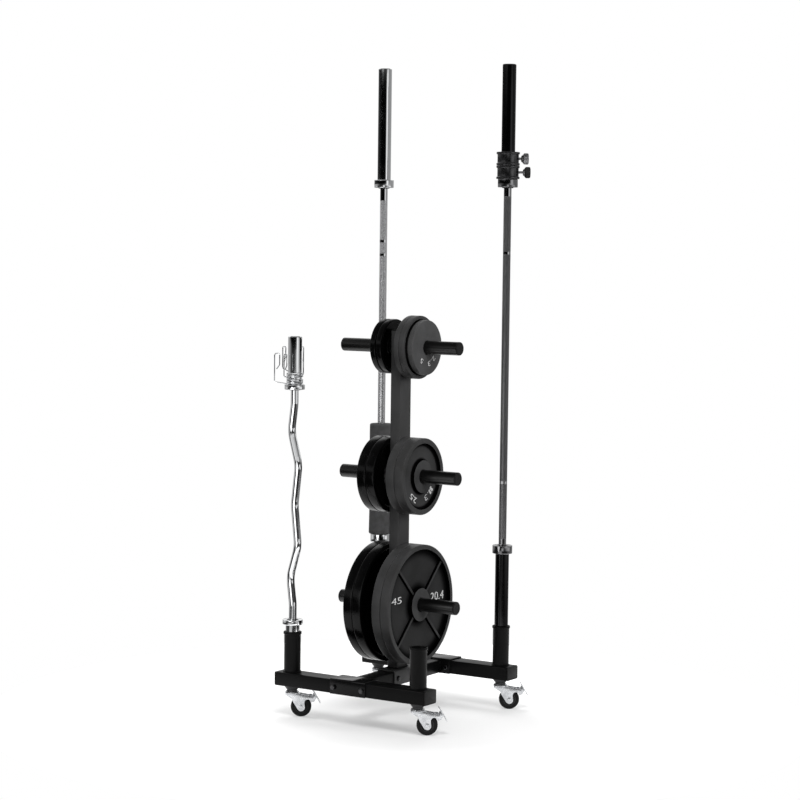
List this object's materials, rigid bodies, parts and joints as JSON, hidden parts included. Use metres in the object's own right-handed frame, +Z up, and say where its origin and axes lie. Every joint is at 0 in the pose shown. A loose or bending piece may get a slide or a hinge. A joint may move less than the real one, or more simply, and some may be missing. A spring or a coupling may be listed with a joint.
{
  "type": "weight plate tree",
  "caption": "Wheeled upright tree with through pegs holding round weight plates, and corner tubes holding long straight bars and a curl bar.",
  "frame": {"origin": "on the floor, under the axis of the upright", "axes": "+Z up; X along the pegs and the two long beams, +X towards the plates with the ribbed face in full view; Y along the middle beam, from the front beam to the rear beam"},
  "size_m": [0.707, 0.7078, 2.363],
  "materials": {
    "frame_paint": "satin",
    "stem_paint": "satin",
    "plate_enamel": "satin",
    "caster_zinc": "satin",
    "wheel_rubber": "matte",
    "black_steel": "satin",
    "chrome": "polished",
    "pad_foam": "matte"
  },
  "bodies": {
    "frame": {"front_beam": "frame_paint", "rear_beam": "frame_paint", "middle_beam": "frame_paint", "upright": "frame_paint", "bottom_peg": "frame_paint", "middle_peg": "frame_paint", "top_peg": "frame_paint", "front_left_holder": "frame_paint", "front_right_holder": "frame_paint", "rear_left_holder": "frame_paint", "rear_right_holder": "frame_paint", "front_left_caster_stem": "stem_paint", "front_right_caster_stem": "stem_paint", "rear_left_caster_stem": "stem_paint", "rear_right_caster_stem": "stem_paint"},
    "front_left_caster": {"front_left_caster_fork": "caster_zinc", "front_left_caster_axle": "caster_zinc"},
    "front_left_wheel": {"front_left_caster_wheel": "wheel_rubber"},
    "front_left_brake": {"front_left_caster_brake_pedal": "caster_zinc"},
    "front_right_caster": {"front_right_caster_fork": "caster_zinc", "front_right_caster_axle": "caster_zinc"},
    "front_right_wheel": {"front_right_caster_wheel": "wheel_rubber"},
    "front_right_brake": {"front_right_caster_brake_pedal": "caster_zinc"},
    "rear_left_caster": {"rear_left_caster_fork": "caster_zinc", "rear_left_caster_axle": "caster_zinc"},
    "rear_left_wheel": {"rear_left_caster_wheel": "wheel_rubber"},
    "rear_left_brake": {"rear_left_caster_brake_pedal": "caster_zinc"},
    "rear_right_caster": {"rear_right_caster_fork": "caster_zinc", "rear_right_caster_axle": "caster_zinc"},
    "rear_right_wheel": {"rear_right_caster_wheel": "wheel_rubber"},
    "rear_right_brake": {"rear_right_caster_brake_pedal": "caster_zinc"},
    "bottom_right_plate_1": {"bottom_right_plate_1": "plate_enamel"},
    "bottom_right_plate_2": {"bottom_right_plate_2": "plate_enamel"},
    "bottom_left_plate_1": {"bottom_left_plate_1": "plate_enamel"},
    "bottom_left_plate_2": {"bottom_left_plate_2": "plate_enamel"},
    "middle_right_plate_1": {"middle_right_plate_1": "plate_enamel"},
    "middle_right_plate_2": {"middle_right_plate_2": "plate_enamel"},
    "middle_left_plate_1": {"middle_left_plate_1": "plate_enamel"},
    "middle_left_plate_2": {"middle_left_plate_2": "plate_enamel"},
    "top_right_plate_1": {"top_right_plate_1": "plate_enamel"},
    "top_right_plate_2": {"top_right_plate_2": "plate_enamel"},
    "top_right_plate_3": {"top_right_plate_3": "plate_enamel"},
    "top_left_plate_1": {"top_left_plate_1": "plate_enamel"},
    "top_left_plate_2": {"top_left_plate_2": "plate_enamel"},
    "black_bar": {"black_bar_shaft": "black_steel"},
    "black_bar_lower_sleeve": {"black_bar_lower_sleeve": "black_steel"},
    "black_bar_upper_sleeve": {"black_bar_upper_sleeve": "black_steel"},
    "chrome_bar": {"chrome_bar_shaft": "chrome"},
    "chrome_bar_lower_sleeve": {"chrome_bar_lower_sleeve": "chrome"},
    "chrome_bar_upper_sleeve": {"chrome_bar_upper_sleeve": "chrome"},
    "curl_bar": {"curl_bar_shaft": "chrome"},
    "curl_bar_lower_sleeve": {"curl_bar_lower_sleeve": "chrome"},
    "curl_bar_upper_sleeve": {"curl_bar_upper_sleeve": "chrome"},
    "lower_clamp": {"lower_clamp": "black_steel"},
    "lower_clamp_knob": {"lower_clamp_knob": "black_steel"},
    "upper_clamp": {"upper_clamp": "black_steel"},
    "upper_clamp_knob": {"upper_clamp_knob": "black_steel"},
    "bar_pad": {"bar_pad": "pad_foam"},
    "lower_spring_collar": {"lower_spring_collar": "chrome"},
    "upper_spring_collar": {"upper_spring_collar": "chrome"}
  },
  "joints": [
    {"name": "front_left_swivel", "type": "hinge", "parent": "frame", "child": "front_left_caster", "pos_m": [-0.27, -0.282, 0.09], "axis": [0, 0, 1], "continuous": true},
    {"name": "front_left_roll", "type": "hinge", "parent": "front_left_caster", "child": "front_left_wheel", "pos_m": [-0.24232, -0.26403, 0.0375], "axis": [-0.5446, 0.8387, 0], "continuous": true},
    {"name": "front_left_brake_press", "type": "hinge", "parent": "front_left_caster", "child": "front_left_brake", "pos_m": [-0.20668, -0.24088, 0.061], "axis": [-0.5446, 0.8387, 0], "range_deg": [0, 25]},
    {"name": "front_right_swivel", "type": "hinge", "parent": "frame", "child": "front_right_caster", "pos_m": [0.27, -0.282, 0.09], "axis": [0, 0, 1], "continuous": true},
    {"name": "front_right_roll", "type": "hinge", "parent": "front_right_caster", "child": "front_right_wheel", "pos_m": [0.29768, -0.26403, 0.0375], "axis": [-0.5446, 0.8387, 0], "continuous": true},
    {"name": "front_right_brake_press", "type": "hinge", "parent": "front_right_caster", "child": "front_right_brake", "pos_m": [0.33332, -0.24088, 0.061], "axis": [-0.5446, 0.8387, 0], "range_deg": [0, 25]},
    {"name": "rear_left_swivel", "type": "hinge", "parent": "frame", "child": "rear_left_caster", "pos_m": [-0.27, 0.282, 0.09], "axis": [0, 0, 1], "continuous": true},
    {"name": "rear_left_roll", "type": "hinge", "parent": "rear_left_caster", "child": "rear_left_wheel", "pos_m": [-0.24232, 0.29997, 0.0375], "axis": [-0.5446, 0.8387, 0], "continuous": true},
    {"name": "rear_left_brake_press", "type": "hinge", "parent": "rear_left_caster", "child": "rear_left_brake", "pos_m": [-0.20668, 0.32312, 0.061], "axis": [-0.5446, 0.8387, 0], "range_deg": [0, 25]},
    {"name": "rear_right_swivel", "type": "hinge", "parent": "frame", "child": "rear_right_caster", "pos_m": [0.27, 0.282, 0.09], "axis": [0, 0, 1], "continuous": true},
    {"name": "rear_right_roll", "type": "hinge", "parent": "rear_right_caster", "child": "rear_right_wheel", "pos_m": [0.29768, 0.29997, 0.0375], "axis": [-0.5446, 0.8387, 0], "continuous": true},
    {"name": "rear_right_brake_press", "type": "hinge", "parent": "rear_right_caster", "child": "rear_right_brake", "pos_m": [0.33332, 0.32312, 0.061], "axis": [-0.5446, 0.8387, 0], "range_deg": [0, 25]},
    {"name": "bottom_right_plate_1_slide", "type": "slide", "parent": "frame", "child": "bottom_right_plate_1", "axis": [1, 0, 0], "range_m": [-0.0036, 0.15]},
    {"name": "bottom_right_plate_2_slide", "type": "slide", "parent": "bottom_right_plate_1", "child": "bottom_right_plate_2", "axis": [1, 0, 0], "range_m": [0, 0.15]},
    {"name": "bottom_left_plate_1_slide", "type": "slide", "parent": "frame", "child": "bottom_left_plate_1", "axis": [-1, 0, 0], "range_m": [0, 0.15]},
    {"name": "bottom_left_plate_2_slide", "type": "slide", "parent": "bottom_left_plate_1", "child": "bottom_left_plate_2", "axis": [-1, 0, 0], "range_m": [0, 0.15]},
    {"name": "middle_right_plate_1_slide", "type": "slide", "parent": "frame", "child": "middle_right_plate_1", "axis": [1, 0, 0], "range_m": [-0.0046, 0.145]},
    {"name": "middle_right_plate_2_slide", "type": "slide", "parent": "middle_right_plate_1", "child": "middle_right_plate_2", "axis": [1, 0, 0], "range_m": [0, 0.145]},
    {"name": "middle_left_plate_1_slide", "type": "slide", "parent": "frame", "child": "middle_left_plate_1", "axis": [-1, 0, 0], "range_m": [0, 0.15]},
    {"name": "middle_left_plate_2_slide", "type": "slide", "parent": "middle_left_plate_1", "child": "middle_left_plate_2", "axis": [-1, 0, 0], "range_m": [0, 0.15]},
    {"name": "top_right_plate_1_slide", "type": "slide", "parent": "frame", "child": "top_right_plate_1", "axis": [1, 0, 0], "range_m": [-0.0165, 0.135]},
    {"name": "top_right_plate_2_slide", "type": "slide", "parent": "top_right_plate_1", "child": "top_right_plate_2", "axis": [1, 0, 0], "range_m": [0, 0.135]},
    {"name": "top_right_plate_3_slide", "type": "slide", "parent": "top_right_plate_2", "child": "top_right_plate_3", "axis": [1, 0, 0], "range_m": [-0.0066, 0.135]},
    {"name": "top_left_plate_1_slide", "type": "slide", "parent": "frame", "child": "top_left_plate_1", "axis": [-1, 0, 0], "range_m": [-0.0016, 0.175]},
    {"name": "top_left_plate_2_slide", "type": "slide", "parent": "top_left_plate_1", "child": "top_left_plate_2", "axis": [-1, 0, 0], "range_m": [-0.0026, 0.175]},
    {"name": "black_bar_lift", "type": "slide", "parent": "frame", "child": "black_bar", "axis": [0, 0, 1], "range_m": [0, 0.15]},
    {"name": "black_bar_lower_sleeve_spin", "type": "hinge", "parent": "black_bar", "child": "black_bar_lower_sleeve", "pos_m": [0.27, 0.282, 0.3633], "axis": [0, 0, 1], "continuous": true},
    {"name": "black_bar_upper_sleeve_spin", "type": "hinge", "parent": "black_bar", "child": "black_bar_upper_sleeve", "pos_m": [0.27, 0.282, 2.1633], "axis": [0, 0, 1], "continuous": true},
    {"name": "chrome_bar_lift", "type": "slide", "parent": "frame", "child": "chrome_bar", "axis": [0, 0, 1], "range_m": [0, 0.15]},
    {"name": "chrome_bar_lower_sleeve_spin", "type": "hinge", "parent": "chrome_bar", "child": "chrome_bar_lower_sleeve", "pos_m": [-0.27, 0.282, 0.3633], "axis": [0, 0, 1], "continuous": true},
    {"name": "chrome_bar_upper_sleeve_spin", "type": "hinge", "parent": "chrome_bar", "child": "chrome_bar_upper_sleeve", "pos_m": [-0.27, 0.282, 2.1633], "axis": [0, 0, 1], "continuous": true},
    {"name": "curl_bar_lift", "type": "slide", "parent": "frame", "child": "curl_bar", "axis": [0, 0, 1], "range_m": [0, 0.15]},
    {"name": "curl_bar_lower_sleeve_spin", "type": "hinge", "parent": "curl_bar", "child": "curl_bar_lower_sleeve", "pos_m": [-0.27, -0.282, 0.3633], "axis": [0, 0, 1], "continuous": true},
    {"name": "curl_bar_upper_sleeve_spin", "type": "hinge", "parent": "curl_bar", "child": "curl_bar_upper_sleeve", "pos_m": [-0.27, -0.282, 1.2633], "axis": [0, 0, 1], "continuous": true},
    {"name": "lower_clamp_slide", "type": "slide", "parent": "black_bar_upper_sleeve", "child": "lower_clamp", "axis": [0, 0, 1], "range_m": [0, 0.3]},
    {"name": "lower_clamp_knob_turn", "type": "hinge", "parent": "lower_clamp", "child": "lower_clamp_knob", "pos_m": [0.32829, 0.31985, 1.97285], "axis": [0.8387, 0.5446, 0], "continuous": true},
    {"name": "upper_clamp_slide", "type": "slide", "parent": "lower_clamp", "child": "upper_clamp", "axis": [0, 0, 1], "range_m": [0, 0.3]},
    {"name": "upper_clamp_knob_turn", "type": "hinge", "parent": "upper_clamp", "child": "upper_clamp_knob", "pos_m": [0.32242, 0.31604, 2.02235], "axis": [0.8387, 0.5446, 0], "continuous": true},
    {"name": "bar_pad_slide", "type": "slide", "parent": "chrome_bar", "child": "bar_pad", "axis": [0, 0, 1], "range_m": [0, 0.88]},
    {"name": "lower_spring_collar_slide", "type": "slide", "parent": "curl_bar_upper_sleeve", "child": "lower_spring_collar", "axis": [0, 0, 1], "range_m": [0, 0.12]},
    {"name": "upper_spring_collar_slide", "type": "slide", "parent": "lower_spring_collar", "child": "upper_spring_collar", "axis": [0, 0, 1], "range_m": [0, 0.12]}
  ]
}
